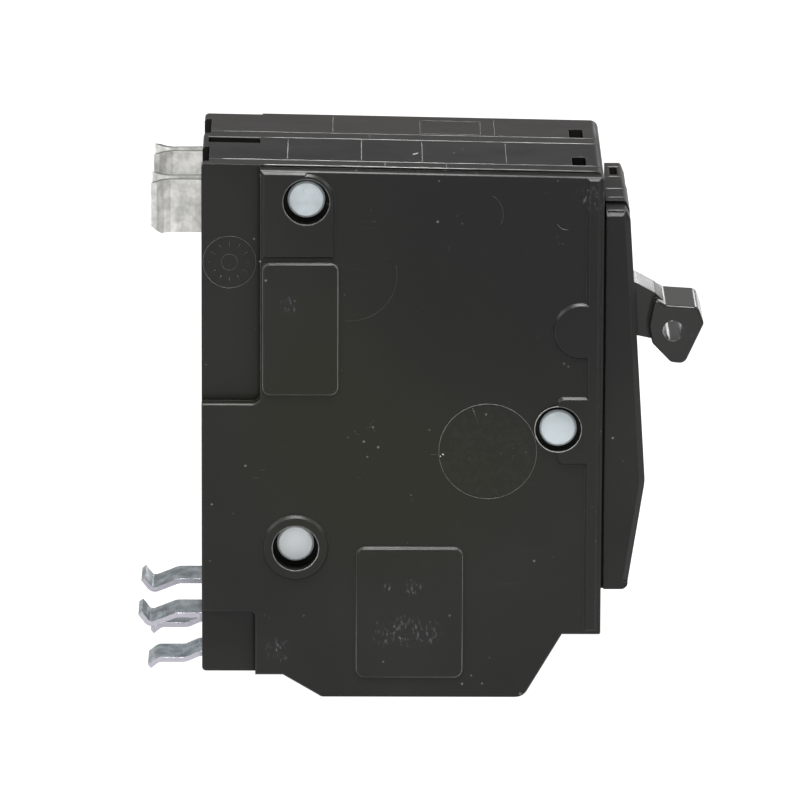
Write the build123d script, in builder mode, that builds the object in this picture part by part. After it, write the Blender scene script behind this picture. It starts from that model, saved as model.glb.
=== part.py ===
from build123d import *
import os
from math import cos, radians, sin

# Two-pole plug-on circuit breaker, standing on its load end.
# +X runs from the panel side to the handle, +Y from pole a to pole b, +Z from the load end to the line end.
# The outlines below are drawn in case coordinates: u from the flat back of the case, z from its bottom.

# Driving dimensions, in millimetres
POLE_PITCH = 19.05
WIDTH = 2 * POLE_PITCH
CASE_DEPTH = 59.0
CASE_HEIGHT = 80.5
FRONT_HEIGHT = 79.4
CLIP_TIP = -9.6
HANDLE_TIP = 73.9

# The origin is the middle of the footprint of the whole object
CASE_BACK = -(CLIP_TIP + HANDLE_TIP) / 2
NEAR = -WIDTH / 2
FAR = WIDTH / 2
CENTRES = {"a": NEAR + POLE_PITCH / 2, "b": FAR - POLE_PITCH / 2}

# Planes across the width: each pole is a cover and a base, and the mechanism space lies between two floors
SEAM_A = NEAR + 6.3
POLE_JOINT = NEAR + 21.3
SEAM_B = NEAR + 25.1
SPACE = {"a": (NEAR + 4.1, NEAR + 17.1), "b": (NEAR + 22.9, NEAR + 36.3)}

# Steps of the outer side of pole a
PAD_RISE = 0.4
PLATEAU_RISE = 2.2
NOSE_NEAR = NEAR + 1.4
NOSE_FAR = FAR - 3.5

# Places in case coordinates
RIVETS = [(15.4, 75.3), (52.5, 41.1), (13.85, 22.9)]
RIVET_SINK = [1.9, 0.9, 3.0]
RIVET_R = 1.9
RIVET_HEAD_R = 2.75
RIVET_HEAD_T = 1.0
COUNTERBORE_R = 3.5
BOSS_R = 4.3
HANDLE_PIVOT = (56.0, 55.5)
ARM_PIVOT = (38.0, 55.5)
CRADLE_PIVOT = (16.0, 42.5)
ARMATURE_PIVOT = (36.6, 20.5)
TRIP_BAR = (31.0, 25.0)
WIRE_AT = 35.2
SCREW_Z = 5.6

# Mechanism sizes
SHAFT_R = 1.6
RUNNING = 0.05
ARM_REST_ANGLE = 7.5
ARM_REACH = 20.0
TAIL_REACH = 12.0
BARREL_R = 7.3
BARREL_HALF = 4.4
PADDLE_HALF = 6.2
JAW_TAB = 62.15
CONTACT_FACE = 61.2
WIRE_R = 3.3
SCREW_R = 1.95
SCREW_HEAD_R = 2.6

os.makedirs("parts", exist_ok=True)


def side(y):
    """Side-view plane at y: its x runs from the case's back to its front, its y runs up."""
    return Plane(origin=(CASE_BACK, y, 0), x_dir=(1, 0, 0), z_dir=(0, -1, 0))


def level(z):
    """Level plane at z: its x runs from the case's back to its front."""
    return Plane(origin=(CASE_BACK, 0, z), x_dir=(1, 0, 0), z_dir=(0, 0, 1))


def face_on(u):
    """Upright plane across the case at u: its x runs across the poles, its y runs up."""
    return Plane(origin=(CASE_BACK + u, 0, 0), x_dir=(0, 1, 0), z_dir=(1, 0, 0))


def save(builder, name):
    """Labels one finished piece and writes it."""
    builder.part.label = name
    export_step(builder.part, f"parts/{name}.step")


def outline(points, radii):
    """Closed face with a radius at each corner, in the current sketch."""
    with BuildLine() as edge:
        FilletPolyline(*points, radius=radii, close=True)
    make_face(edge.edges())


def box_between(u0, u1, y0, y1, z0, z1, mode=Mode.ADD):
    """Block between two opposite corners, in the current part."""
    with BuildSketch(level(z0)) as base:
        with Locations(((u0 + u1) / 2, (y0 + y1) / 2)):
            Rectangle(u1 - u0, y1 - y0)
    extrude(base.sketch, amount=z1 - z0, mode=mode)


def disc_across(at, radius, y0, y1, mode=Mode.ADD):
    """Round bar or hole across the poles, in the current part."""
    with BuildSketch(side(y0)) as section:
        with Locations(at):
            Circle(radius)
    extrude(section.sketch, amount=y0 - y1, mode=mode)


# ---------------------------------------------------------------- case outlines

CASE_POINTS = [
    (0, 3.4), (12.0, 3.4), (17.75, 0), (47.6, 0),
    (53.3, 9.7), (CASE_DEPTH, 9.7), (CASE_DEPTH, FRONT_HEIGHT), (0, CASE_HEIGHT),
]
CASE_RADII = [0.6, 0, 0.8, 2.0, 0, 0.3, 1.2, 0.6]
SPACE_POINTS = [
    (1.8, 5.5), (11.9, 5.5), (18.2, 1.8), (46.5, 1.8), (51.6, 11.0),
    (57.2, 11.0), (57.2, 77.6), (1.8, 78.6),
]
SPACE_RADII = [0.5, 1, 1, 1, 1, 1, 1.5, 1]
NOSE_POINTS = [(58.5, 16.4), (62.85, 16.4), (65.4, 32.7)]
NOSE_RADII = [0, 1.0, 8, 0.6, 0.5, 0]
NOSE_TOP_COVER = 73.8
NOSE_TOP_A = 74.3
NOSE_TOP_B = 73.6
NOSE_GAP = {"a": 0.35, "b": 0.9}
NOSE_BEVEL = [(63.0, 17.4), (65.4, 32.7), (62.9, 72.3), (62.3, NOSE_TOP_COVER), (59.2, NOSE_TOP_COVER)]
BEVEL = 0.8
STRIP = (8.65, 44.8)
PADS = [(8.85, 20.2, 46.1, 66.2, 1.3), (22.7, 38.7, 3.0, 23.1, 1.4)]
LOW_RECESS = (7.9, 13.1)


def slab(y0, y1, points, radii):
    """Slice of an outline between two planes across the width, in the current part."""
    with BuildSketch(side(y0)) as section:
        outline(points, radii)
    extrude(section.sketch, amount=y0 - y1)


def nose(y0, y1, top):
    """Slice of the nose that the handle comes through, with its upper end at a given height."""
    slab(y0, y1, NOSE_POINTS + [(62.9, top - 1.5), (62.3, top), (58.5, top)], NOSE_RADII)


def hollow(y0, y1):
    """Mechanism space between y0 and y1, leaving the rivet bosses and the braces standing."""
    with BuildSketch(side(y0)) as section:
        outline(SPACE_POINTS, SPACE_RADII)
        with Locations(*RIVETS):
            Circle(BOSS_R, mode=Mode.SUBTRACT)
        with Locations((54.6, 22)):
            Rectangle(6, 1.4, mode=Mode.SUBTRACT)
        with Locations((24, 34)):
            Rectangle(1.2, 9, mode=Mode.SUBTRACT)
    extrude(section.sketch, amount=y0 - y1, mode=Mode.SUBTRACT)


def shared_cuts(pole):
    """Cuts that meet both halves of a pole: terminals, clip pocket, handle and shaft holes."""
    centre = CENTRES[pole]
    # Wire entry through the bottom
    with BuildSketch(level(-1)) as entry:
        with Locations((WIRE_AT, centre)):
            Circle(WIRE_R + 0.3)
    extrude(entry.sketch, amount=4, mode=Mode.SUBTRACT)
    # Slot in the back for the line jaw and the bus stab, with a shallow notch that opens it to the top
    box_between(-1, 2.5, centre - 2.3, centre + 2.3, 68.6, 77.3, mode=Mode.SUBTRACT)
    box_between(-1, 1.1, centre - 5.0, centre + 4.8, 77.3, 82, mode=Mode.SUBTRACT)
    # Pocket for the rail clip
    box_between(-1, 5.2, centre - 3.9, centre + 3.9, 4.6, 11.6, mode=Mode.SUBTRACT)
    # Square vent in the top near the front
    box_between(54.4, 56.5, centre - 3.5, centre + 2.5, 76, 81, mode=Mode.SUBTRACT)
    # Terminal screw access through the slanted corner
    with BuildSketch(face_on(45.5)) as access:
        with Locations((centre, SCREW_Z)):
            Circle(SCREW_HEAD_R + 0.3)
    extrude(access.sketch, amount=12, mode=Mode.SUBTRACT)
    # Sockets for the pins that stand between the two floors
    low, high = SPACE[pole]
    for at, radius in ((ARM_PIVOT, 1.5), (CRADLE_PIVOT, 1.2), (ARMATURE_PIVOT, 0.9)):
        disc_across(at, radius + 0.02, low - 0.9, high + 0.9, mode=Mode.SUBTRACT)
    # See-through gap behind the top of the nose
    box_between(CASE_DEPTH, CASE_DEPTH + NOSE_GAP[pole], NEAR - 1, FAR + 1, 71, 76, mode=Mode.SUBTRACT)


def shaft_cuts():
    """Holes for the operator shaft and the trip bar, which cross both poles."""
    disc_across(HANDLE_PIVOT, SHAFT_R + RUNNING, NEAR + 3.0, NEAR + 37.1, mode=Mode.SUBTRACT)
    disc_across(TRIP_BAR, SHAFT_R + RUNNING, NEAR + 3.6, NEAR + 36.8, mode=Mode.SUBTRACT)


def barrel_space(pole):
    """Round space in the front of a pole for its operator's barrel."""
    centre = CENTRES[pole]
    half = BARREL_HALF + 0.3
    disc_across(HANDLE_PIVOT, BARREL_R + 0.3, centre - half, centre + half, mode=Mode.SUBTRACT)


def handle_opening():
    """Slot in the nose of pole a for the handle's neck, with a shallow seat above it for the thrown paddle."""
    centre = CENTRES["a"]
    box_between(54, 68, centre - 4.2, centre + 4.2, 52.9, 65.5, mode=Mode.SUBTRACT)
    box_between(62.7, 68, centre - 6.6, centre + 6.6, 60.9, 66.6, mode=Mode.SUBTRACT)


def rivet_cuts(near_heads, far_heads):
    """Through holes for the case rivets, with counterbores on the outer sides."""
    for at, sink in zip(RIVETS, RIVET_SINK):
        disc_across(at, RIVET_R + RUNNING, NEAR - 1, FAR + 1, mode=Mode.SUBTRACT)
        if near_heads:
            disc_across(at, COUNTERBORE_R, NEAR - 1, NEAR + sink + RIVET_HEAD_T, mode=Mode.SUBTRACT)
        if far_heads:
            disc_across(at, COUNTERBORE_R, FAR - 1.2 - RIVET_HEAD_T, FAR + 1, mode=Mode.SUBTRACT)


def seam_edge(builder, last, size=0.15):
    """Breaks the outer edge of the first or last face across the width."""
    face = builder.faces().filter_by(Axis.Y).sort_by(Axis.Y)[-1 if last else 0]
    chamfer(face.outer_wire().edges(), size)


def bevel_near_edge(start, end):
    """Bevels the nose's edge on pole a's outer side between two points of its outline, in the current part."""
    run = Vector(end[0] - start[0], 0, end[1] - start[1])
    corner = Plane(origin=(CASE_BACK + start[0], NOSE_NEAR, start[1]), x_dir=(0, 1, 0), z_dir=run)
    with BuildSketch(corner) as section:
        with BuildLine() as edge:
            Polyline((-1, BEVEL + 1), (-1, -1), (BEVEL + 1, -1), close=True)
        make_face(edge.edges())
    extrude(section.sketch, amount=run.length, mode=Mode.SUBTRACT)


# ---------------------------------------------------------------- covers and bases

def make_cover_a():
    with BuildPart() as cover:
        slab(NEAR + PAD_RISE + PLATEAU_RISE, SEAM_A, CASE_POINTS, CASE_RADII)
        seam_edge(cover, last=True)
        # Plateau that carries the rivets; a strip down the upper back and the low back corner stay recessed
        with BuildSketch(side(NEAR + PAD_RISE + PLATEAU_RISE)) as plateau:
            outline(CASE_POINTS, CASE_RADII)
            with BuildLine():
                FilletPolyline((-1, STRIP[1]), (STRIP[0], STRIP[1]), (STRIP[0], 90), (-1, 90),
                               radius=[0, 1.2, 0, 0], close=True)
            make_face(mode=Mode.SUBTRACT)
            with BuildLine():
                FilletPolyline((-1, 0), (LOW_RECESS[0], 0), LOW_RECESS, (-1, LOW_RECESS[1]),
                               radius=[0, 0, 0.8, 0], close=True)
            make_face(mode=Mode.SUBTRACT)
            with BuildLine():
                Polyline((-1, 80.2), (60, 79.05), (60, 90), (-1, 90), close=True)
            make_face(mode=Mode.SUBTRACT)
        extrude(amount=PLATEAU_RISE)
        plateau_face = cover.faces().filter_by(Axis.Y).sort_by(Axis.Y)[0]
        chamfer(plateau_face.outer_wire().edges(), 0.2)
        # Raised panels, the band down the front edge and the ground around two rivets, all with sloped sides
        with BuildSketch(side(NEAR + PAD_RISE)):
            for u0, u1, z0, z1, radius in PADS:
                with Locations(((u0 + u1) / 2, (z0 + z1) / 2)):
                    RectangleRounded(u1 - u0, z1 - z0, radius)
            # Front band, with a round bump at the handle's pivot and a square one at the middle rivet
            with Locations((57.5, 46.2)):
                Rectangle(2.0, 72)
            with Locations((55.8, 55.9)):
                Circle(4.25)
            with Locations((55.3, 40.8)):
                RectangleRounded(6.2, 10.3, 1.2)
            with Locations((63.5, 44)):
                Rectangle(10, 80, mode=Mode.SUBTRACT)
            # Ground around the upper and the lower rivet
            with Locations((14.2, 74.0)):
                Rectangle(10.7, 14.4)
            with Locations((21.0, 79.0)):
                Rectangle(11.0, 7.4, mode=Mode.SUBTRACT)
            with Locations(RIVETS[0]):
                Circle(4.2)
            with Locations(RIVETS[2]):
                Circle(4.95)
            # Both stop at the plateau's sloping top edge
            with BuildLine():
                Polyline((-1, 80.0), (60, 78.85), (60, 90), (-1, 90), close=True)
            make_face(mode=Mode.SUBTRACT)
        extrude(amount=PAD_RISE)
        chamfer(cover.edges().group_by(Axis.Y)[0], 0.36)
        nose(NOSE_NEAR, SEAM_A, NOSE_TOP_COVER)
        for start, end in zip(NOSE_BEVEL, NOSE_BEVEL[1:]):
            bevel_near_edge(start, end)
        # Groove where the nose meets the front of the case
        box_between(CASE_DEPTH, CASE_DEPTH + 0.4, NOSE_NEAR - 1, NOSE_NEAR + 0.6, 16.4, 71, mode=Mode.SUBTRACT)
        hollow(SPACE["a"][0], SEAM_A)
        shared_cuts("a")
        shaft_cuts()
        barrel_space("a")
        handle_opening()
        rivet_cuts(near_heads=True, far_heads=False)
    save(cover, "cover_a")


def make_base_a():
    centre = CENTRES["a"]
    with BuildPart() as base:
        slab(SEAM_A, POLE_JOINT, CASE_POINTS, CASE_RADII)
        seam_edge(base, last=True)
        seam_edge(base, last=False)
        nose(SEAM_A, POLE_JOINT, NOSE_TOP_A)
        hollow(SEAM_A, SPACE["a"][1])
        # Post behind the armature spring
        box_between(31.9, 33.1, centre + 0.8, SPACE["a"][1] + 0.5, 28.1, 30.9)
        shared_cuts("a")
        shaft_cuts()
        barrel_space("a")
        handle_opening()
        rivet_cuts(near_heads=False, far_heads=False)
        # Gas channel between the poles at the upper back
        box_between(0.8, 8.5, NEAR + 18.4, POLE_JOINT + 1, 62, 82, mode=Mode.SUBTRACT)
        box_between(0.8, 8.5, NEAR + 17.3, POLE_JOINT + 1, 79.0, 82, mode=Mode.SUBTRACT)
    save(base, "base_a")


def make_cover_b():
    with BuildPart() as cover:
        slab(POLE_JOINT, SEAM_B, CASE_POINTS, CASE_RADII)
        seam_edge(cover, last=True)
        seam_edge(cover, last=False)
        nose(POLE_JOINT, SEAM_B, NOSE_TOP_B)
        hollow(SPACE["b"][0], SEAM_B)
        shared_cuts("b")
        shaft_cuts()
        barrel_space("b")
        rivet_cuts(near_heads=False, far_heads=False)
    save(cover, "cover_b")


def make_base_b():
    centre = CENTRES["b"]
    with BuildPart() as base:
        slab(SEAM_B, FAR, CASE_POINTS, CASE_RADII)
        seam_edge(base, last=False)
        far_face = base.faces().filter_by(Axis.Y).sort_by(Axis.Y)[-1]
        chamfer(far_face.outer_wire().edges(), 0.3)
        nose(SEAM_B, NOSE_FAR, NOSE_TOP_B)
        hollow(SEAM_B, SPACE["b"][1])
        box_between(31.9, 33.1, centre + 0.8, SPACE["b"][1] + 0.5, 28.1, 30.9)
        shared_cuts("b")
        shaft_cuts()
        barrel_space("b")
        rivet_cuts(near_heads=False, far_heads=True)
        # Small pocket in the top of the nose
        box_between(60.5, 61.7, NEAR + 26.5, NEAR + 31.5, 72.4, 76, mode=Mode.SUBTRACT)
        # Recessed strip down the upper back of the outer side
        box_between(-1, STRIP[0], FAR - 1.0, FAR + 1, STRIP[1], 82, mode=Mode.SUBTRACT)
        # Shallow label panel on the outer side
        with BuildSketch(side(FAR + 1)):
            with Locations((30, 52)):
                RectangleRounded(34, 24, 1.4)
        extrude(amount=1.4, mode=Mode.SUBTRACT)
    save(base, "base_b")


def make_rivets():
    """Three long rivets that hold both poles together."""
    with BuildPart() as rivets:
        for at, sink in zip(RIVETS, RIVET_SINK):
            near_head = NEAR + sink
            far_head = FAR - 1.2
            disc_across(at, RIVET_R, near_head, far_head)
            disc_across(at, RIVET_HEAD_R, near_head, near_head + RIVET_HEAD_T)
            disc_across(at, RIVET_HEAD_R, far_head - RIVET_HEAD_T, far_head)
        rims = rivets.edges().filter_by(GeomType.CIRCLE).filter_by(lambda e: e.radius > RIVET_HEAD_R - 0.1)
        chamfer(rims.group_by(Axis.Y)[-1], 0.3)
        heads = [rims.sort_by(Axis.Y)[i] for i in range(6)]
        near_rims = [e for e in heads if any(abs(e.center().Y - NEAR - s) < 0.01 for s in RIVET_SINK)]
        chamfer(near_rims, 0.3)
    save(rivets, "case_rivets")


# ---------------------------------------------------------------- operator

def fork_slot(y0, y1):
    """Slot in the rear of an operator's barrel for the tail of a contact arm, in the current part."""
    reach = BARREL_R - 0.3
    slot_u = HANDLE_PIVOT[0] - reach * cos(radians(2 * ARM_REST_ANGLE))
    slot_z = HANDLE_PIVOT[1] + reach * sin(radians(2 * ARM_REST_ANGLE))
    with BuildSketch(side(y0)) as slot:
        with Locations(Location((slot_u, slot_z, 0), (0, 0, -2 * ARM_REST_ANGLE))):
            Rectangle(6.4, 3.8)
    extrude(slot.sketch, amount=y0 - y1, mode=Mode.SUBTRACT)


def make_handle():
    """Rocker handle of pole a: barrel, neck and paddle with a cross hole."""
    centre = CENTRES["a"]
    with BuildPart() as handle:
        # Barrel that fills the slot in the nose
        disc_across(HANDLE_PIVOT, BARREL_R, centre - BARREL_HALF, centre + BARREL_HALF)
        # Neck
        with BuildSketch(side(centre - 3.9)):
            outline([(58.0, 62.2), (61.0, 62.9), (64.0, 62.0), (66.8, 60.5), (68.4, 58.9),
                     (68.4, 52.4), (66.3, 53.6), (64.0, 54.1), (60.0, 51.9), (57.0, 54.4)],
                    [0, 1.0, 1.5, 0.5, 0, 0, 0.8, 0.8, 0, 0])
        extrude(amount=-7.8)
        # Paddle
        with BuildSketch(side(centre - PADDLE_HALF)):
            outline([(66.6, 60.1), (68.2, 59.2), (70.4, 59.05), (73.0, 58.9), (HANDLE_TIP, 56.4), (71.1, 50.3),
                     (69.1, 50.5), (66.3, 53.4), (65.8, 55.9)],
                    [0.5, 1.0, 1.5, 0.9, 0.8, 1.2, 1.0, 1.2, 1.5])
        extrude(amount=-2 * PADDLE_HALF)
        paddle_rims = handle.faces().filter_by(Axis.Y)
        fillet(paddle_rims.sort_by(Axis.Y)[0].outer_wire().edges(), 0.35)
        fillet(handle.faces().filter_by(Axis.Y).sort_by(Axis.Y)[-1].outer_wire().edges(), 0.35)
        # Cross hole through the paddle
        disc_across((69.35, 55.3), 1.55, centre - 7, centre + 7, mode=Mode.SUBTRACT)
        # Rear slot for the arm's tail, and the hole for the shaft
        fork_slot(centre - 1.7, centre + 1.7)
        disc_across(HANDLE_PIVOT, SHAFT_R, centre - 6, centre + 6, mode=Mode.SUBTRACT)
    save(handle, "handle")


def make_slave_operator():
    """Rocker inside pole b that repeats the handle's rear fork."""
    centre = CENTRES["b"]
    with BuildPart() as operator:
        disc_across(HANDLE_PIVOT, BARREL_R, centre - BARREL_HALF, centre + BARREL_HALF)
        fork_slot(centre - 1.7, centre + 1.7)
        disc_across(HANDLE_PIVOT, SHAFT_R, centre - 6, centre + 6, mode=Mode.SUBTRACT)
    save(operator, "slave_operator")


def make_operator_shaft():
    with BuildPart() as shaft:
        disc_across(HANDLE_PIVOT, SHAFT_R, NEAR + 3.1, NEAR + 37.0)
        chamfer(shaft.edges().filter_by(GeomType.CIRCLE), 0.25)
    save(shaft, "operator_shaft")


def make_trip_bar():
    """Common trip bar with one paddle behind each armature."""
    with BuildPart() as bar:
        disc_across(TRIP_BAR, SHAFT_R, NEAR + 3.7, NEAR + 36.7)
        for centre in CENTRES.values():
            with BuildSketch(side(centre - 3.2)):
                outline([(TRIP_BAR[0] - 0.6, 25.6), (TRIP_BAR[0] + 1.4, 24.8), (35.6, 34.2), (35.6, 35.6),
                         (34.4, 35.6)], [0, 0, 0.5, 0.3, 0.5])
            extrude(amount=-2.0)
    save(bar, "trip_bar")


# ---------------------------------------------------------------- pieces repeated in each pole

def make_line_jaw(pole, centre):
    """Folded copper jaw: two sprung leaves, a web and the tab that carries the fixed contact."""
    with BuildPart() as jaw:
        for way in (-1, 1):
            with BuildSketch(level(69.0)):
                with BuildLine():
                    Polyline((7.0, centre + way * 1.0), (0, centre + way * 1.0), (-5.0, centre + way * 0.85),
                             (-6.1, centre + way * 1.5), (-7.2, centre + way * 3.2), (-7.4, centre + way * 3.75),
                             (-6.6, centre + way * 3.5), (-5.6, centre + way * 2.2), (-4.6, centre + way * 1.66),
                             (0, centre + way * 1.8), (7.0, centre + way * 1.8), close=True)
                make_face()
            extrude(amount=7.9)
        with BuildSketch(side(centre - 6)):
            with BuildLine():
                Polyline((-8, 68), (-5.9, 68), (-5.9, 69), (-7.5, 70.4), (-8, 70.4), close=True)
            make_face()
        extrude(amount=-12, mode=Mode.SUBTRACT)
        # Web across the back of the fold, then down and forward to the contact
        box_between(6.2, 7.0, centre - 1.8, centre + 1.8, 69.0, 76.9)
        with BuildSketch(side(centre - 3.0)):
            with BuildLine():
                Polyline((6.2, 70.4), (6.2, JAW_TAB), (20.9, JAW_TAB), (20.9, 63.35), (7.4, 63.35), (7.4, 70.4),
                         close=True)
            make_face()
        extrude(amount=-6.0)
    save(jaw, f"line_jaw_{pole}")


def make_contacts(pole, centre):
    with BuildPart() as fixed_contact:
        with BuildSketch(level(CONTACT_FACE)):
            with Locations((18.2, centre)):
                Circle(2.2)
        extrude(amount=JAW_TAB - CONTACT_FACE)
        chamfer(fixed_contact.faces().sort_by(Axis.Z)[0].edges(), 0.2)
    save(fixed_contact, f"fixed_contact_{pole}")
    rest = arm_plane(centre - 1.0)
    with BuildPart() as moving_contact:
        tip = Plane(origin=rest.from_local_coords((-ARM_REACH, 1.5, -1.0)), x_dir=rest.x_dir, z_dir=rest.y_dir)
        with BuildSketch(tip):
            Circle(2.0)
        extrude(amount=1.2)
        fillet(moving_contact.faces().sort_by(Axis.Z)[-1].edges(), 0.4)
    save(moving_contact, f"moving_contact_{pole}")


def arm_plane(y):
    """Side-view plane at y in the contact arm's own rest direction, centred on its pivot."""
    angle = radians(ARM_REST_ANGLE)
    origin = (CASE_BACK + ARM_PIVOT[0], y, ARM_PIVOT[1])
    return Plane(origin=origin, x_dir=(cos(angle), 0, sin(angle)), z_dir=(0, -1, 0))


def make_contact_arm(pole, centre):
    """Copper arm from the contact to its pivot, with a narrow tail that runs in the operator's fork."""
    with BuildPart() as arm:
        with BuildSketch(arm_plane(centre - 2.5)):
            with Locations((-(ARM_REACH + 2.3) / 2, 0)):
                Rectangle(ARM_REACH + 2.3, 3.0)
            Circle(3.2)
        extrude(amount=-5.0)
        with BuildSketch(arm_plane(centre - 1.3)):
            with Locations((TAIL_REACH / 2, 0)):
                Rectangle(TAIL_REACH, 1.8)
            with Locations((TAIL_REACH, 0)):
                Circle(1.3)
        extrude(amount=-2.6)
        disc_across(ARM_PIVOT, 1.5 + RUNNING, centre - 6, centre + 6, mode=Mode.SUBTRACT)
    save(arm, f"contact_arm_{pole}")


def make_pins(pole, centre):
    """Steel pins that stand between the two floors of a pole."""
    low, high = SPACE[pole]
    for name, at, radius in (("arm_pin", ARM_PIVOT, 1.5), ("cradle_pin", CRADLE_PIVOT, 1.2),
                             ("armature_pin", ARMATURE_PIVOT, 0.9)):
        with BuildPart() as pin:
            disc_across(at, radius, low - 0.8, high + 0.8)
            chamfer(pin.edges().filter_by(GeomType.CIRCLE), 0.2)
        save(pin, f"{name}_{pole}")


def make_trip_lever(pole, centre):
    """Latched cradle: hub, beam and tip that rests over the armature."""
    with BuildPart() as lever:
        with BuildSketch(side(centre - 0.8)):
            with Locations(CRADLE_PIVOT):
                Circle(2.6)
            with BuildLine():
                Polyline((15.5, 44.9), (28.0, 44.0), (36.2, 42.9), (36.2, 41.5), (30.0, 41.0), (15.5, 40.0),
                         close=True)
            make_face()
            with Locations(CRADLE_PIVOT):
                Circle(1.25, mode=Mode.SUBTRACT)
        extrude(amount=-1.6)
    save(lever, f"trip_lever_{pole}")


def coil(start, direction, radius, pitch, height, wire):
    """Spring wire wound around an axis, with a straight leg at each end, in the current part."""
    with BuildLine() as path:
        Helix(pitch, height, radius, center=start, direction=direction)
    with BuildSketch(Plane(origin=path.line @ 0, z_dir=path.line % 0)) as section:
        Circle(wire)
    sweep(section.sketch, path=path.line)


def make_springs(pole, centre):
    with BuildPart() as toggle:
        coil((CASE_BACK + 28.0, centre, 45.2), (0, 0, 1), 1.3, 1.2, 6.0, 0.3)
    save(toggle, f"toggle_spring_{pole}")
    with BuildPart() as trim:
        coil((CASE_BACK + 33.5, centre + 2.2, 29.5), (1, 0, 0), 1.0, 0.7, 2.1, 0.2)
    save(trim, f"armature_spring_{pole}")


def make_arc_chute(pole, centre):
    """Five notched steel plates in a fibre liner, facing the contact gap."""
    with BuildPart() as plates:
        for step in range(5):
            with BuildSketch(level(49.5 + 2.4 * step)):
                with Locations((8.8, centre)):
                    Rectangle(11.0, 9.8)
                with BuildLine():
                    Polyline((15, centre - 2.6), (8.5, centre - 0.6), (8.5, centre + 0.6), (15, centre + 2.6),
                             close=True)
                make_face(mode=Mode.SUBTRACT)
            extrude(amount=1.0)
    save(plates, f"arc_plates_{pole}")
    with BuildPart() as liner:
        with BuildSketch(level(48.5)):
            with Locations((8.4, centre)):
                Rectangle(12.0, 10.6)
            with Locations((9.0, centre)):
                Rectangle(11.8, 9.9, mode=Mode.SUBTRACT)
        extrude(amount=12.4)
    save(liner, f"arc_liner_{pole}")


def make_trip_unit(pole, centre):
    """Bimetal in a steel yoke, with the armature that the cradle latches on."""
    with BuildPart() as bimetal:
        box_between(40.6, 41.4, centre - 2.5, centre + 2.5, 13.0, 44.0)
    save(bimetal, f"bimetal_{pole}")
    with BuildPart() as yoke:
        with BuildSketch(level(24.0)):
            with Locations((42.0, centre)):
                Rectangle(6.2, 7.6)
            with Locations((41.4, centre)):
                Rectangle(5.0, 5.6, mode=Mode.SUBTRACT)
        extrude(amount=11.0)
    save(yoke, f"magnet_yoke_{pole}")
    with BuildPart() as armature:
        box_between(36.0, 37.2, centre - 3.4, centre + 3.4, 20.5, 41.0)
        disc_across(ARMATURE_PIVOT, 1.7, centre - 3.4, centre + 3.4)
        disc_across(ARMATURE_PIVOT, 0.95, centre - 6, centre + 6, mode=Mode.SUBTRACT)
    save(armature, f"armature_{pole}")
    with BuildPart() as screw:
        with BuildSketch(face_on(41.4)):
            with Locations((centre, 17.0)):
                Circle(1.2)
        extrude(amount=6.1)
        with BuildSketch(face_on(47.5)):
            with Locations((centre, 17.0)):
                Circle(2.2)
        extrude(amount=1.5)
        box_between(48.3, 49.5, centre - 0.35, centre + 0.35, 14, 20, mode=Mode.SUBTRACT)
    save(screw, f"calibration_screw_{pole}")


def make_braid(pole, centre):
    """Flexible copper braid from the side of the arm to the top of the bimetal."""
    with BuildPart() as braid:
        with BuildLine(side(centre + 3.55)) as path:
            FilletPolyline((24.0, 53.8), (24.6, 48.4), (33.0, 46.4), (41.0, 46.4), (41.0, 42.4),
                           radius=[2.2, 5.0, 1.6])
        with BuildSketch(Plane(origin=path.line @ 0, z_dir=path.line % 0)):
            Circle(1.0)
        sweep(path=path.line)
    save(braid, f"braid_{pole}")


def make_load_terminal(pole, centre):
    """Load strap, box lug with a wire bore from below, pressure pad and clamping screw."""
    with BuildPart() as strap:
        with BuildSketch(side(centre - 2.5)):
            with BuildLine():
                Polyline((30.5, 11.3), (42.6, 11.3), (42.6, 20.5), (41.4, 20.5), (41.4, 12.5), (30.5, 12.5),
                         close=True)
            make_face()
        extrude(amount=-5.0)
        with BuildSketch(face_on(41)):
            with Locations((centre, 17.0)):
                Circle(1.2)
        extrude(amount=3, mode=Mode.SUBTRACT)
    save(strap, f"load_strap_{pole}")
    with BuildPart() as lug:
        box_between(29.6, 43.0, centre - 5.0, centre + 5.0, 2.2, 11.2)
        chamfer(lug.edges().filter_by(Axis.Y), 0.4)
        with BuildSketch(level(2.2)):
            with Locations((WIRE_AT, centre)):
                Circle(WIRE_R)
        extrude(amount=9.0, mode=Mode.SUBTRACT)
        with BuildSketch(face_on(WIRE_AT)):
            with Locations((centre, SCREW_Z)):
                Circle(SCREW_R + RUNNING)
        extrude(amount=10, mode=Mode.SUBTRACT)
    save(lug, f"terminal_lug_{pole}")
    with BuildPart() as clamp_pad:
        with BuildSketch(face_on(38.7)):
            with Locations((centre, SCREW_Z)):
                Circle(1.85)
        extrude(amount=1.2)
        chamfer(clamp_pad.faces().sort_by(Axis.X)[0].edges(), 0.3)
    save(clamp_pad, f"wire_clamp_{pole}")
    with BuildPart() as screw:
        with BuildSketch(face_on(39.9)):
            with Locations((centre, SCREW_Z)):
                Circle(SCREW_R)
        extrude(amount=7.7)
        with BuildSketch(face_on(47.6)):
            with Locations((centre, SCREW_Z)):
                Circle(SCREW_HEAD_R)
        extrude(amount=2.6)
        chamfer(screw.faces().sort_by(Axis.X)[-1].edges(), 0.3)
        # Drive slot
        box_between(49.0, 50.5, centre - 0.5, centre + 0.5, 0, 12, mode=Mode.SUBTRACT)
    save(screw, f"terminal_screw_{pole}")


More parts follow.
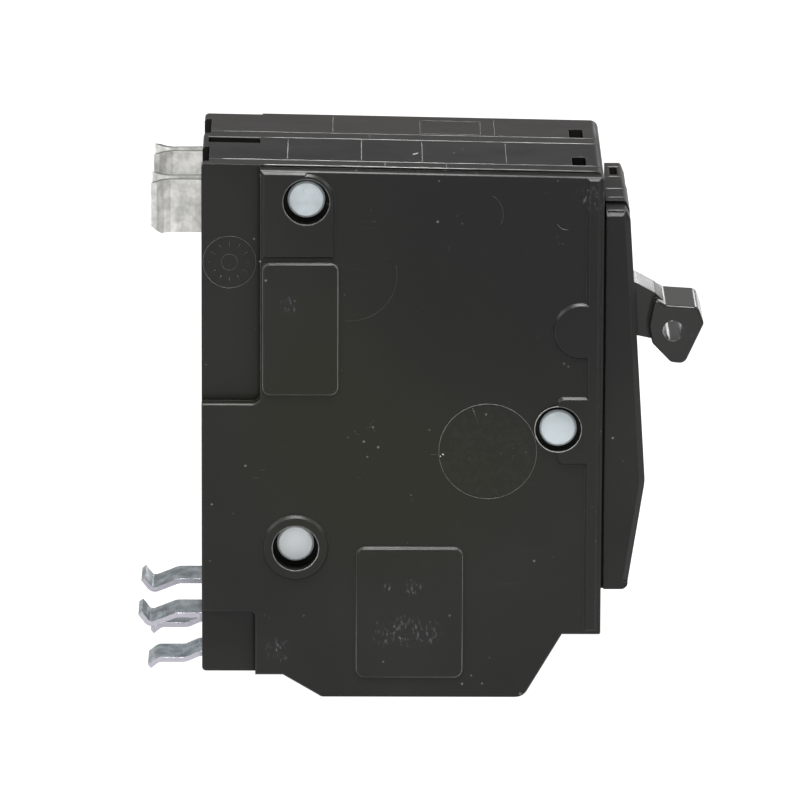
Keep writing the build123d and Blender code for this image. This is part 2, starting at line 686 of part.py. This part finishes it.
def make_rail_clip(pole, centre):
    """Bent steel clip whose two prongs grip the edge of the panel's mounting rail."""
    with BuildPart() as clip:
        with BuildSketch(side(centre - 3.7)):
            with BuildLine():
                FilletPolyline((-7.9, 3.1), (-6.6, 4.15), (-2.6, 4.15), (-0.4, 5.12), (3.9, 5.12), (3.9, 11.02),
                               (-3.9, 11.02), (-7.8, 9.45), (-9.25, 11.3), radius=[1.4, 2.4, 2.4, 0.9, 0.9, 2.4, 1.1])
            trace(line_width=0.75)
        extrude(amount=-7.4)
    save(clip, f"rail_clip_{pole}")


make_cover_a()
make_base_a()
make_cover_b()
make_base_b()
make_rivets()
make_handle()
make_slave_operator()
make_operator_shaft()
make_trip_bar()
for pole_name, pole_centre in CENTRES.items():
    make_line_jaw(pole_name, pole_centre)
    make_contacts(pole_name, pole_centre)
    make_contact_arm(pole_name, pole_centre)
    make_pins(pole_name, pole_centre)
    make_trip_lever(pole_name, pole_centre)
    make_springs(pole_name, pole_centre)
    make_arc_chute(pole_name, pole_centre)
    make_trip_unit(pole_name, pole_centre)
    make_braid(pole_name, pole_centre)
    make_load_terminal(pole_name, pole_centre)
    make_rail_clip(pole_name, pole_centre)
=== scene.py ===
import random
from math import cos, pi, radians, sin

import bmesh
import bpy
from mathutils import Matrix, Vector


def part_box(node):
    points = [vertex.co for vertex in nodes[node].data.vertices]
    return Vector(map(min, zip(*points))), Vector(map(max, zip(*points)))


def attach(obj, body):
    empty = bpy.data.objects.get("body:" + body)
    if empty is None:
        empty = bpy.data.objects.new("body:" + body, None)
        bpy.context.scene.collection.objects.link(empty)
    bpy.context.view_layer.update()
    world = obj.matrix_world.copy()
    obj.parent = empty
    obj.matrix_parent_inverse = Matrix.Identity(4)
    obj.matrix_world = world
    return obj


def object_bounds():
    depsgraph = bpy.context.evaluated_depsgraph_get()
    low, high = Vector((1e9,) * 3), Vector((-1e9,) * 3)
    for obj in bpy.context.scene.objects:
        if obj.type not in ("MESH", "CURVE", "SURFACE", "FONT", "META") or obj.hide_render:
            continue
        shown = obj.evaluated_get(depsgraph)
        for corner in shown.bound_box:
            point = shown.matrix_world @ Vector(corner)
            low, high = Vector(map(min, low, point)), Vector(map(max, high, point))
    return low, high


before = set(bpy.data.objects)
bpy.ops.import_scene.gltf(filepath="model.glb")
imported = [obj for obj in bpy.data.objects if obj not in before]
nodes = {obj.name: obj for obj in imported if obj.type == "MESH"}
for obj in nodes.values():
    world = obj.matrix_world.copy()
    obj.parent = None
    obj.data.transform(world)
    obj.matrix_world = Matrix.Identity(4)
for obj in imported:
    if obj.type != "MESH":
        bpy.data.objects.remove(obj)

cad_lo, cad_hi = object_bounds()
scene = bpy.context.scene

# The case in millimetres: u runs from its flat back to its front, w from its near side to its far side, z upward
MM = 0.001
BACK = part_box("cover_a")[0].x
CASE_TOP = 80.5                # at the back; the top falls slightly towards the front
TOP_SLOPE = 1.1 / 59
SIDE_W = 0.42                  # centre lines of the marks on the near side
RIVETS = ((15.4, 75.3), (52.5, 41.1), (13.85, 22.9))                                # u and z of their centres
PANELS = ((8.85, 20.2, 46.1, 66.2, 1.3), (22.7, 38.7, 3.0, 23.1, 1.4))              # u0, u1, z0, z1, corner
INSERT_U, INSERT_Z, INSERT_RADIUS = 42.15, 37.66, 7.2
WHEEL = (4.12, 2.62, 65.7)     # u, w and z of the small ring on the recessed strip

UP = Vector((0, 0, 1))
OUTWARD = Vector((0, -1, 0))


def at(u, w, z):
    """Point of the case in the object's frame, in metres."""
    return Vector((BACK + u * MM, cad_lo.y + w * MM, z * MM))


def on_top(u, w, lift=0.0):
    """Point of the case's sloping top."""
    return at(u, w, CASE_TOP - TOP_SLOPE * u + lift)


# ------------------------------------------------------------------ camera

def make_camera():
    """Long lens, slightly above the case and square to its near side."""
    yaw, pitch, roll = radians(0.37), radians(14.24), radians(0.23)
    aim, distance = at(29.2, 0, 45.56), 1.258
    forward = Vector((sin(yaw) * cos(pitch), cos(yaw) * cos(pitch), -sin(pitch)))
    right = Vector((cos(yaw), -sin(yaw), 0))
    up = right.cross(forward)
    tilted_right = cos(roll) * right + sin(roll) * up
    tilted_up = cos(roll) * up - sin(roll) * right
    camera = bpy.data.objects.new("camera", bpy.data.cameras.new("camera"))
    camera.data.sensor_width = 36
    camera.data.lens = 385.2
    camera.data.clip_start = 0.1
    camera.data.clip_end = 20
    turn = Matrix((tilted_right, tilted_up, -forward)).transposed()
    camera.matrix_world = Matrix.Translation(aim - distance * forward) @ turn.to_4x4()
    scene.collection.objects.link(camera)
    scene.camera = camera


# ------------------------------------------------------------------ light and floor

LIGHT_AIM = (0, 0, 0.04)
SOFTBOXES = (  # name, place, size and power
    ("top_softbox", (0.0, -0.26, 1.1), (0.5, 0.45), 23),
    ("front_softbox", (0.0, -1.5, 1.0), (1.0, 0.6), 4),
    ("back_softbox", (0.33, 1.4, 0.28), (0.18, 0.13), 0.3),
    ("left_softbox", (-1.0, -0.22, 0.75), (0.3, 0.5), 5),
    ("right_softbox", (1.0, -0.2, 0.75), (0.3, 0.5), 4),
)
WORLD_STRENGTH = 0.37
FLOOR_HALF = 3.0
FLOOR_DROP = 0.0002            # keeps the floor clear of the lowest face


def make_light(name, place, size, power):
    data = bpy.data.lights.new(name, "AREA")
    data.shape = "RECTANGLE"
    data.size, data.size_y = size
    data.energy = power
    light = bpy.data.objects.new(name, data)
    light.location = place
    light.rotation_mode = "QUATERNION"
    light.rotation_quaternion = (Vector(place) - Vector(LIGHT_AIM)).to_track_quat("Z", "Y")
    scene.collection.objects.link(light)


def make_floor():
    """Evenly lit pale paper."""
    half = FLOOR_HALF
    mesh = bpy.data.meshes.new("floor")
    mesh.from_pydata([(-half, -half, 0), (half, -half, 0), (half, half, 0), (-half, half, 0)], [], [(0, 1, 2, 3)])
    floor = bpy.data.objects.new("floor", mesh)
    floor.location.z = -FLOOR_DROP
    scene.collection.objects.link(floor)
    paper = bpy.data.materials.new("paper")
    paper.use_nodes = True
    shader = paper.node_tree.nodes["Principled BSDF"]
    shader.inputs["Base Color"].default_value = (0.12, 0.12, 0.12, 1)
    shader.inputs["Roughness"].default_value = 0.9
    shader.inputs["Specular IOR Level"].default_value = 0.0
    shader.inputs["Emission Color"].default_value = (1, 1, 1, 1)
    shader.inputs["Emission Strength"].default_value = 1.0
    mesh.materials.append(paper)


def make_studio():
    world = bpy.data.worlds.new("studio")
    scene.world = world
    world.use_nodes = True
    background = world.node_tree.nodes["Background"]
    background.inputs["Color"].default_value = (1, 1, 1, 1)
    background.inputs["Strength"].default_value = WORLD_STRENGTH
    for softbox in SOFTBOXES:
        make_light(*softbox)
    scene.view_settings.view_transform = "Standard"
    make_floor()


# ------------------------------------------------------------------ materials

class Paint:
    """Small helper that wires the nodes of one material."""

    def __init__(self, name):
        self.material = bpy.data.materials.new(name)
        self.material.use_nodes = True
        self.tree = self.material.node_tree
        self.shader = self.tree.nodes["Principled BSDF"]
        self.place = self.node("ShaderNodeTexCoord").outputs["Object"]

    def node(self, kind, **settings):
        made = self.tree.nodes.new(kind)
        for key, value in settings.items():
            setattr(made, key, value)
        return made

    def join(self, source, target):
        self.tree.links.new(source, target)

    def stretched(self, scale, turn):
        """Object coordinates turned, then scaled differently along each axis."""
        mapping = self.node("ShaderNodeMapping")
        mapping.inputs["Rotation"].default_value = turn
        mapping.inputs["Scale"].default_value = scale
        self.join(self.place, mapping.inputs["Vector"])
        return mapping.outputs["Vector"]

    def noise(self, scale, detail=4.0, roughness=0.55, stretch=None, turn=(0, 0, 0), offset=0.0):
        made = self.node("ShaderNodeTexNoise")
        made.noise_dimensions = "4D"
        made.inputs["W"].default_value = offset
        made.inputs["Scale"].default_value = scale
        made.inputs["Detail"].default_value = detail
        made.inputs["Roughness"].default_value = roughness
        self.join(self.stretched(stretch, turn) if stretch else self.place, made.inputs["Vector"])
        return made.outputs["Fac"]

    def cells(self, scale):
        """Distance to the nearest of many scattered points."""
        made = self.node("ShaderNodeTexVoronoi", feature="F1")
        made.inputs["Scale"].default_value = scale
        self.join(self.place, made.inputs["Vector"])
        return made.outputs["Distance"]

    def ramp(self, source, low, high, at_low=0.0, at_high=1.0):
        made = self.node("ShaderNodeMapRange", interpolation_type="SMOOTHSTEP")
        self.join(source, made.inputs["Value"])
        for key, value in (("From Min", low), ("From Max", high), ("To Min", at_low), ("To Max", at_high)):
            made.inputs[key].default_value = value
        return made.outputs["Result"]

    def math(self, operation, a, b):
        made = self.node("ShaderNodeMath", operation=operation)
        for socket, value in zip(made.inputs, (a, b)):
            if isinstance(value, (int, float)):
                socket.default_value = value
            else:
                self.join(value, socket)
        return made.outputs["Value"]

    def mix(self, factor, a, b):
        made = self.node("ShaderNodeMix", data_type="RGBA")
        self.join(factor, made.inputs[0])
        for socket, value in ((made.inputs[6], a), (made.inputs[7], b)):
            if isinstance(value, tuple):
                socket.default_value = (*value, 1)
            else:
                self.join(value, socket)
        return made.outputs[2]

    def tinted(self, colour, mask, amount, tint):
        """The colour with some of a tint laid over it where the mask says."""
        return self.mix(self.math("MULTIPLY", mask, amount), colour, tint)

    def bump(self, height, strength, distance, normal=None):
        made = self.node("ShaderNodeBump")
        made.inputs["Strength"].default_value = strength
        made.inputs["Distance"].default_value = distance
        self.join(height, made.inputs["Height"])
        if normal is not None:
            self.join(normal, made.inputs["Normal"])
        return made.outputs["Normal"]

    def open_air(self, reach):
        """How open a place is: low in the corners at the foot of a step."""
        made = self.node("ShaderNodeAmbientOcclusion", samples=6)
        made.inputs["Distance"].default_value = reach
        return made.outputs["AO"]

    def near(self, spot, reach, core=0.35):
        """Mask that fades out around a place."""
        apart = self.node("ShaderNodeVectorMath", operation="DISTANCE")
        self.join(self.place, apart.inputs[0])
        apart.inputs[1].default_value = spot
        return self.ramp(apart.outputs["Value"], core * reach, reach, 1.0, 0.0)

    def hairs(self, offset):
        """Fine straight scratches across the case's sides."""
        lines = self.noise(2600, 1.0, 0.5, stretch=(0.04, 0.3, 1.0), turn=(0, 0.35, 0), offset=offset)
        return self.ramp(lines, 0.66, 0.74)

    def true_normal(self):
        return self.node("ShaderNodeNewGeometry").outputs["True Normal"]

    def rounded(self, radius):
        """Normal that turns softly over the edges."""
        made = self.node("ShaderNodeBevel", samples=6)
        made.inputs["Radius"].default_value = radius
        return made.outputs["Normal"]

    def edges(self, radius):
        """Mask of the edges, where the rounded normal parts from the true one."""
        made = self.node("ShaderNodeVectorMath", operation="DOT_PRODUCT")
        self.join(self.rounded(radius), made.inputs[0])
        self.join(self.true_normal(), made.inputs[1])
        return self.ramp(made.outputs["Value"], 0.80, 0.985, 1.0, 0.0)


DUST = (0.18, 0.18, 0.175)
HAIR = (0.10, 0.10, 0.098)
SCUFF = (0.20, 0.215, 0.23)
LEATHER = (0.019, 0.019, 0.015)
WORN_EDGE = (0.085, 0.083, 0.078)


def case_plastic(name, offset=0.0, dark=(0.0048, 0.0048, 0.0043), pale=(0.0092, 0.0091, 0.0083), scuffs=(),
                 gloss=(0.36, 0.46), shine=0.27, insert=None, tones=()):
    """Thermoset moulding: cloudy satin skin, fine grain, flow lines, dust, hair scratches, worn edges and painted
    shade in the corners.

    offset shifts the patterns; scuffs are places and reaches; insert is the place and reach of a leathery
    round patch; tones are places, reaches and tints laid over the skin there, some of them painted shade.
    """
    p = Paint(name)
    clouds = p.noise(45, 3, 0.5, offset=offset)
    flow = p.noise(160, 3, 0.6, stretch=(1.0, 1.0, 0.12), offset=offset + 3)
    colour = p.mix(p.ramp(clouds, 0.35, 0.68), dark, pale)
    # Tints laid over the skin at given places; some of them are painted shade.
    for spot, reach, tint in tones:
        colour = p.tinted(colour, p.near(spot, reach), 0.85, tint)
    chosen = p.ramp(p.noise(130, 2, 0.5, offset=offset + 7), 0.54, 0.60)
    dust = p.math("MULTIPLY", p.ramp(p.cells(420), 0.045, 0.10, 1.0, 0.0), chosen)
    colour = p.tinted(colour, dust, 0.6, DUST)
    scratched = p.ramp(p.noise(70, 2, offset=offset + 5), 0.5, 0.62)
    colour = p.tinted(colour, p.math("MULTIPLY", p.hairs(offset), scratched), 0.05, HAIR)
    for spot, reach in scuffs:
        streaks = p.ramp(p.noise(2400, 4, 0.75, (1, 1, 0.45)), 0.53, 0.70)
        colour = p.tinted(colour, p.math("MULTIPLY", p.near(spot, reach), streaks), 0.6, SCUFF)
    if insert:
        leather = p.math("MULTIPLY", p.near(*insert, 0.97), p.ramp(p.noise(1200, 4, 0.7), 0.42, 0.62))
        colour = p.tinted(colour, leather, 0.28, LEATHER)
    uneven = p.ramp(p.noise(600, 4, 0.6, offset=offset), 0.3, 0.6, 0.25, 1.0)
    colour = p.tinted(colour, p.math("MULTIPLY", p.edges(0.00016), uneven), 0.8, WORN_EDGE)
    p.join(colour, p.shader.inputs["Base Color"])
    skin_gloss = p.math("ADD", p.ramp(clouds, 0.3, 0.7, *gloss), p.ramp(flow, 0.4, 0.7, 0.0, 0.05))
    p.join(p.math("ADD", skin_gloss, p.math("MULTIPLY", dust, 0.3)), p.shader.inputs["Roughness"])
    # Painted shade: the specular is turned down where open_air finds a corner, so the feet of steps read darker.
    p.join(p.ramp(p.open_air(0.0007), 0.45, 0.95, 0.15 * shine, shine), p.shader.inputs["Specular IOR Level"])
    grain = p.noise(5200, 2, 0.6, offset=offset)
    skin = p.bump(grain, 0.10, 0.00004, p.rounded(0.00012))
    skin = p.bump(flow, 0.10, 0.0001, skin)
    if insert:
        skin = p.bump(leather, 0.25, 0.00008, skin)
    p.join(p.bump(dust, 0.25, 0.00005, skin), p.shader.inputs["Normal"])
    return p.material


def metal(name, tones, roughness, streak=(1, 1, 1), streak_scale=900, metallic=1.0, cloud_scale=150,
          cut=None, cut_axis=2, painted_light_tints=()):
    """Bare or plated metal: two tones in soft clouds, drawn streaks and uneven gloss.

    cut is the tone of the cut edges, the faces that look along cut_axis; the last argument gives places, reaches
    and colours of painted shade and painted light.
    """
    p = Paint(name)
    clouds = p.ramp(p.noise(cloud_scale, 4, 0.6), 0.3, 0.7)
    lines = p.noise(streak_scale, 4, 0.65, stretch=streak)
    blend = p.math("ADD", p.math("MULTIPLY", clouds, 0.6), p.math("MULTIPLY", lines, 0.4))
    colour = p.mix(blend, *tones)
    if cut:
        parts = p.node("ShaderNodeSeparateXYZ")
        p.join(p.true_normal(), parts.inputs[0])
        edge = p.ramp(p.math("ABSOLUTE", parts.outputs[cut_axis], 0), 0.75, 0.9)
        colour = p.mix(edge, colour, cut)
    # Painted shade and painted light laid on at given places.
    for spot, reach, tint in painted_light_tints:
        colour = p.tinted(colour, p.near(spot, reach), 0.8, tint)
    p.join(colour, p.shader.inputs["Base Color"])
    p.shader.inputs["Metallic"].default_value = metallic
    p.join(p.ramp(lines, 0.25, 0.75, *roughness), p.shader.inputs["Roughness"])
    p.join(p.bump(lines, 0.12, 0.00006, p.rounded(0.00010)), p.shader.inputs["Normal"])
    return p.material


def dress(material, *names):
    for name in names:
        slots = nodes[name].data.materials
        slots.clear()
        slots.append(material)


def both(*names):
    """The names of the same pieces in the two poles."""
    return [f"{name}_{pole}" for name in names for pole in "ab"]


def make_case_materials():
    """The near cover carries the wear and a patch of painted shade high towards its front; the shells behind it
    differ a little in tone.
    """
    rubs = [(at(27.2, 0, 10.0), 0.0026), (at(30.2, 0, 10.3), 0.0030), (at(33.4, 0, 10.0), 0.0026),
            (at(31.2, 0, 16.9), 0.0018), (at(27.6, 0, 17.0), 0.0010), (at(11.3, 0.4, 7.2), 0.0022),
            (at(9.3, 0.4, 12.1), 0.0010), (at(13.0, 0, 59.9), 0.0018), (at(57.2, 0, 76.0), 0.0028)]
    # The olive tint is a warmer tone of the skin; the near-black tint darkens the near side high towards the front
    # as painted shade.
    olive, painted_shade_tint = (0.0078, 0.0082, 0.0024), (0.0022, 0.0022, 0.0022)
    near_cover = case_plastic("case_plastic_cover_a", scuffs=rubs,
                              insert=(at(INSERT_U, 0.4, INSERT_Z), INSERT_RADIUS * MM),
                              tones=((at(28, 0.4, 42), 0.034, olive), (at(45, 0.4, 67), 0.034, painted_shade_tint)))
    dress(near_cover, "cover_a")
    dress(case_plastic("case_plastic_base_a", 1.7, (0.0016, 0.0016, 0.0015), (0.0032, 0.0031, 0.0030), shine=0.24),
          "base_a")
    dress(case_plastic("case_plastic_cover_b", 3.4), "cover_b")
    dress(case_plastic("case_plastic_base_b", 5.1, (0.0075, 0.0062, 0.0058), (0.0130, 0.0115, 0.0100)), "base_b")
    dress(case_plastic("handle_plastic", 9.0, gloss=(0.13, 0.18), shine=0.35), "handle", "slave_operator")
    dress(case_plastic("trip_plastic", 4.0, (0.30, 0.035, 0.025), (0.40, 0.06, 0.04)), "trip_bar")
    dress(case_plastic("fibre", 5.0, (0.22, 0.10, 0.06), (0.34, 0.17, 0.11)), *both("arc_liner"))


def make_metals():
    (middle_u, middle_z), (low_u, low_z) = RIVETS[1:]
    # Painted shade and painted light on the rivet heads: the middle rivet is darkened, the low rivet, deep in its
    # bore, is lightened.
    rivet_painted_light = ((at(middle_u, 0.9, middle_z), 0.009, (0.41, 0.46, 0.48)),
                   (at(low_u, 3.0, low_z), 0.009, (0.95, 0.99, 1.0)))
    dress(metal("rivet_zinc", ((0.62, 0.69, 0.73), (0.78, 0.86, 0.89)), (0.5, 0.65), metallic=0.05, cloud_scale=700,
                painted_light_tints=rivet_painted_light), "case_rivets")
    dress(metal("jaw_tin", ((0.25, 0.25, 0.24), (0.84, 0.83, 0.80)), (0.5, 0.62), streak=(1, 1, 0.25),
                streak_scale=1800, metallic=0.25, cloud_scale=380, cut=(0.085, 0.09, 0.08)),
          *both("line_jaw"))
    dress(metal("clip_zinc", ((0.09, 0.13, 0.15), (0.86, 0.93, 0.98)), (0.20, 0.45), streak=(1, 0.12, 1),
                streak_scale=1300, cloud_scale=420, cut=(0.43, 0.42, 0.47), cut_axis=1),
          *both("rail_clip"))
    dress(metal("copper", ((0.62, 0.30, 0.18), (0.86, 0.48, 0.32)), (0.28, 0.45), streak=(0.1, 1, 1)),
          *both("contact_arm", "load_strap", "braid"))
    dress(metal("silver", ((0.74, 0.73, 0.70), (0.90, 0.89, 0.86)), (0.25, 0.4)),
          *both("fixed_contact", "moving_contact"))
    dress(metal("lug_aluminium", ((0.62, 0.62, 0.63), (0.80, 0.80, 0.81)), (0.35, 0.5), streak=(1, 1, 0.1)),
          *both("terminal_lug"))
    dress(metal("steel", ((0.40, 0.40, 0.41), (0.62, 0.62, 0.63)), (0.3, 0.48), streak=(1, 0.1, 1)),
          "operator_shaft", *both("arm_pin", "cradle_pin", "armature_pin", "trip_lever", "toggle_spring",
                                  "armature_spring", "arc_plates", "magnet_yoke", "armature", "calibration_screw",
                                  "wire_clamp", "terminal_screw"))
    dress(metal("bimetal", ((0.45, 0.43, 0.40), (0.66, 0.63, 0.58)), (0.3, 0.5), streak=(1, 1, 0.1)),
          *both("bimetal"))


# ------------------------------------------------------------------ raised detail of the mouldings

chance = random.Random(11)


def add_ridge(mesh, points, radius, normal, closed=False):
    """Fine raised line of uneven height along a run of points that lies on a face; radius in millimetres."""
    rings = []
    for i, point in enumerate(points):
        before = points[i - 1] if i or closed else point
        after = points[(i + 1) % len(points)] if i + 1 < len(points) or closed else point
        across = (after - before).normalized().cross(normal)
        size = radius * MM * chance.uniform(0.75, 1.2)
        turns = [pi * k / 3 for k in range(6)]
        rings.append([mesh.verts.new(point + size * (cos(t) * across + sin(t) * normal)) for t in turns])
    pairs = list(zip(rings, rings[1:]))
    if closed:
        pairs.append((rings[-1], rings[0]))
    else:
        mesh.faces.new(rings[0][::-1])
        mesh.faces.new(rings[-1])
    for one, other in pairs:
        for k in range(6):
            mesh.faces.new((one[k], one[k - 5], other[k - 5], other[k]))


def straight(start, end, step=0.0009, stray=0.00003):
    """Points from start to end, a little out of line as moulding flash is."""
    count = max(2, int((end - start).length / step))
    points = [start.lerp(end, i / count) for i in range(count + 1)]
    return [p + Vector((chance.uniform(-stray, stray), chance.uniform(-stray, stray), 0)) for p in points]


def arc(centre, radius, first=0, last=360, count=48):
    """Points of an arc on the near side; angles run from the front of the case upward."""
    u, w, z = centre
    steps = [radians(first + (last - first) * i / count) for i in range(count + 1)]
    points = [at(u + radius * cos(t), w, z + radius * sin(t)) for t in steps]
    return points[:-1] if last - first == 360 else points


def seam_flash_highlights(mesh):
    """Flash along the seams between the mouldings on the top, in pale plastic whose lightness is a painted
    highlight.
    """
    for w, first, last, radius, lift in ((2.72, 9.2, 57.6, 0.10, 0), (6.3, 3.0, 58.0, 0.09, -0.05),
                                         (21.3, 9.0, 58.0, 0.10, -0.05), (25.1, 3.0, 58.0, 0.08, -0.05)):
        add_ridge(mesh, straight(on_top(first, w, lift), on_top(last, w, lift)), radius, UP)
    across = [(u, 7.0, 20.6) for u in (12.6, 23.45, 32.4, 44.75)]
    across += [(u, 3.1, 5.9) for u in (26.9, 35.9)] + [(u, 25.7, 36.5) for u in (19.2, 43.3)] + [(24.7, 22.0, 24.6)]
    for u, w0, w1 in across:
        add_ridge(mesh, straight(on_top(u, w0, -0.02), on_top(u, w1, -0.02)), 0.05, UP)
    window = ((32.2, 26.0), (41.2, 26.0), (41.2, 35.0), (32.2, 35.0))
    for start, end in zip(window, window[1:] + window[:1]):
        add_ridge(mesh, straight(on_top(*start, -0.02), on_top(*end, -0.02)), 0.05, UP)
    for u in (22.65, 40.3):
        add_ridge(mesh, straight(on_top(u, 0.9, -0.34), on_top(u, 2.5, -0.34), 0.0004), 0.05, UP)
    add_ridge(mesh, straight(on_top(31.0, 11.4), on_top(31.8, 12.6), 0.0003), 0.12, UP)
    add_ridge(mesh, straight(on_top(1.6, 26.7, -0.05), on_top(4.8, 26.7, -0.05)), 0.06, UP)
    for u, w, top in ((59.6, 8.2, 74.3), (59.6, 1.9, 73.8), (59.6, 14.0, 74.3), (60.2, 25.1, 73.6),
                      (60.2, 31.8, 73.6)):
        add_ridge(mesh, straight(at(u, w, top), at(62.0, w, top), 0.0004), 0.10, UP)


def bore_rims(mesh):
    """Thin pale rings around the mouths of the three rivet bores: a painted highlight of the rims."""
    for u, z in RIVETS:
        add_ridge(mesh, arc((u, 0.13, z), 3.46, count=60), 0.08, OUTWARD, closed=True)


def pad_edge_highlights(mesh):
    """Thin pale line half-way up the sloped sides of the two raised panels: a painted highlight along their edges.
    """
    inset, w = 0.17, 0.19
    for u0, u1, z0, z1, corner in PANELS:
        corners = ((u1 - corner, z1 - corner), (u0 + corner, z1 - corner),
                   (u0 + corner, z0 + corner), (u1 - corner, z0 + corner))
        points = []
        for turn, (u, z) in enumerate(corners):
            points += arc((u, w, z), corner - inset, 90 * turn, 90 * turn + 90, 6)
        add_ridge(mesh, points, 0.055, OUTWARD, closed=True)


def side_marks(mesh):
    """Circle around the moulded insert, ejector circles, small curved ticks and scratches on the near side. They
    are pale plastic, a painted highlight on the moulded circles and lines.
    """
    add_ridge(mesh, arc((INSERT_U, SIDE_W, INSERT_Z), INSERT_RADIUS, count=90), 0.07, OUTWARD, closed=True)
    for u, z, size, first, last, count, radius in ((21.8, 64.3, 6.9, -95, 12, 30, 0.03),
                                                   (53.4, 72.5, 1.3, 200, 285, 10, 0.05),
                                                   (41.0, 73.5, 3.2, -30, 60, 14, 0.03)):
        add_ridge(mesh, arc((u, SIDE_W, z), size, first, last, count), radius, OUTWARD)
    add_ridge(mesh, straight(at(8.70, 0.50, 79.4), at(8.70, 0.50, 45.8), 0.0006), 0.035, OUTWARD)
    add_ridge(mesh, straight(at(59.55, 1.45, 17.5), at(59.55, 1.45, 72.5), stray=0.00001), 0.03, OUTWARD)
    for u, z, size, first in ((24.6, 40.2, 1.1, 20), (23.2, 40.9, 0.7, 190), (25.7, 41.6, 0.8, 100),
                              (8.0, 33.0, 0.6, 40), (8.9, 35.2, 0.5, 250), (52.6, 68.6, 0.6, 30)):
        add_ridge(mesh, arc((u, SIDE_W, z), size, first, first + 95, 8), 0.028, OUTWARD)
    for u0, z0, u1, z1 in ((32.2, 37.2, 35.2, 37.2), (39.9, 44.2, 40.8, 41.8), (46.7, 38.8, 48.8, 39.7)):
        add_ridge(mesh, straight(at(u0, SIDE_W, z0), at(u1, SIDE_W, z1)), 0.03, OUTWARD)


def insert_ring(mesh):
    """Ring of a mould insert on the recessed strip, with plain radial marks in it, in pale plastic that paints
    their highlight.
    """
    add_ridge(mesh, arc(WHEEL, 3.9, count=60), 0.05, OUTWARD, closed=True)
    add_ridge(mesh, arc(WHEEL, 1.2, count=30), 0.04, OUTWARD, closed=True)
    u, w, z = WHEEL
    for turn in range(0, 360, 30):
        a = radians(turn)
        inner, outer = (at(u + reach * cos(a), w, z + reach * sin(a)) for reach in (2.3, 3.1))
        add_ridge(mesh, straight(inner, outer, 0.0004), 0.04, OUTWARD)


def dust_crumbs(mesh):
    """Small irregular crumbs of plastic left on the faces."""
    places = [(35.6, SIDE_W, 37.2, 0.22), (35.2, SIDE_W, 36.9, 0.16), (8.62, 0.45, 66.3, 0.13),
              (30.9, SIDE_W, 31.0, 0.10)]
    for _ in range(120):
        places.append((chance.uniform(10, 55), SIDE_W, chance.uniform(24.5, 78), chance.uniform(0.03, 0.085)))
    for u, w, z, size in places:
        middle = at(u, w, z)
        rim = []
        for k in range(6):
            reach = size * MM * chance.uniform(0.6, 1.1)
            rim.append(mesh.verts.new(middle + Vector((reach * cos(pi * k / 3), 0, reach * sin(pi * k / 3)))))
        peak = mesh.verts.new(middle + 0.5 * size * MM * OUTWARD)
        for k in range(6):
            mesh.faces.new((rim[k - 1], rim[k], peak))


def piece_of(name, build, material):
    """One detail piece, which rides on the case."""
    mesh = bmesh.new()
    build(mesh)
    bmesh.ops.recalc_face_normals(mesh, faces=mesh.faces)
    data = bpy.data.meshes.new(name)
    mesh.to_mesh(data)
    mesh.free()
    for face in data.polygons:
        face.use_smooth = True
    data.materials.append(material)
    piece = bpy.data.objects.new(name, data)
    scene.collection.objects.link(piece)
    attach(piece, "case")


def make_details():
    # Pale plastic for the seam flash and the bore rims: its lightness is a painted highlight.
    flash_with_painted_highlight = case_plastic("flash_plastic_painted_highlight", 6.0, (0.12, 0.118, 0.114), (0.34, 0.34, 0.335))
    # Pale plastic for the moulded rings and marks: partly painted highlight.
    marks_with_painted_highlight = case_plastic("ring_plastic_painted_highlight", 8.0, (0.045, 0.044, 0.042), (0.11, 0.108, 0.104))
    # Pale plastic for the panel edge lines: a painted highlight.
    painted_highlight_plastic = case_plastic("pad_edge_painted_highlight", 7.0, (0.05, 0.049, 0.047), (0.26, 0.257, 0.25))
    crumb = case_plastic("crumb_plastic", 2.0, (0.25, 0.25, 0.24), (0.5, 0.5, 0.49))
    piece_of("seam_flash_highlights", seam_flash_highlights, flash_with_painted_highlight)
    piece_of("bore_rims", bore_rims, flash_with_painted_highlight)
    piece_of("pad_edge_highlights", pad_edge_highlights, painted_highlight_plastic)
    piece_of("side_marks", side_marks, marks_with_painted_highlight)
    piece_of("insert_ring", insert_ring, marks_with_painted_highlight)
    piece_of("dust_crumbs", dust_crumbs, crumb)


make_camera()
make_studio()
make_case_materials()
make_metals()
make_details()
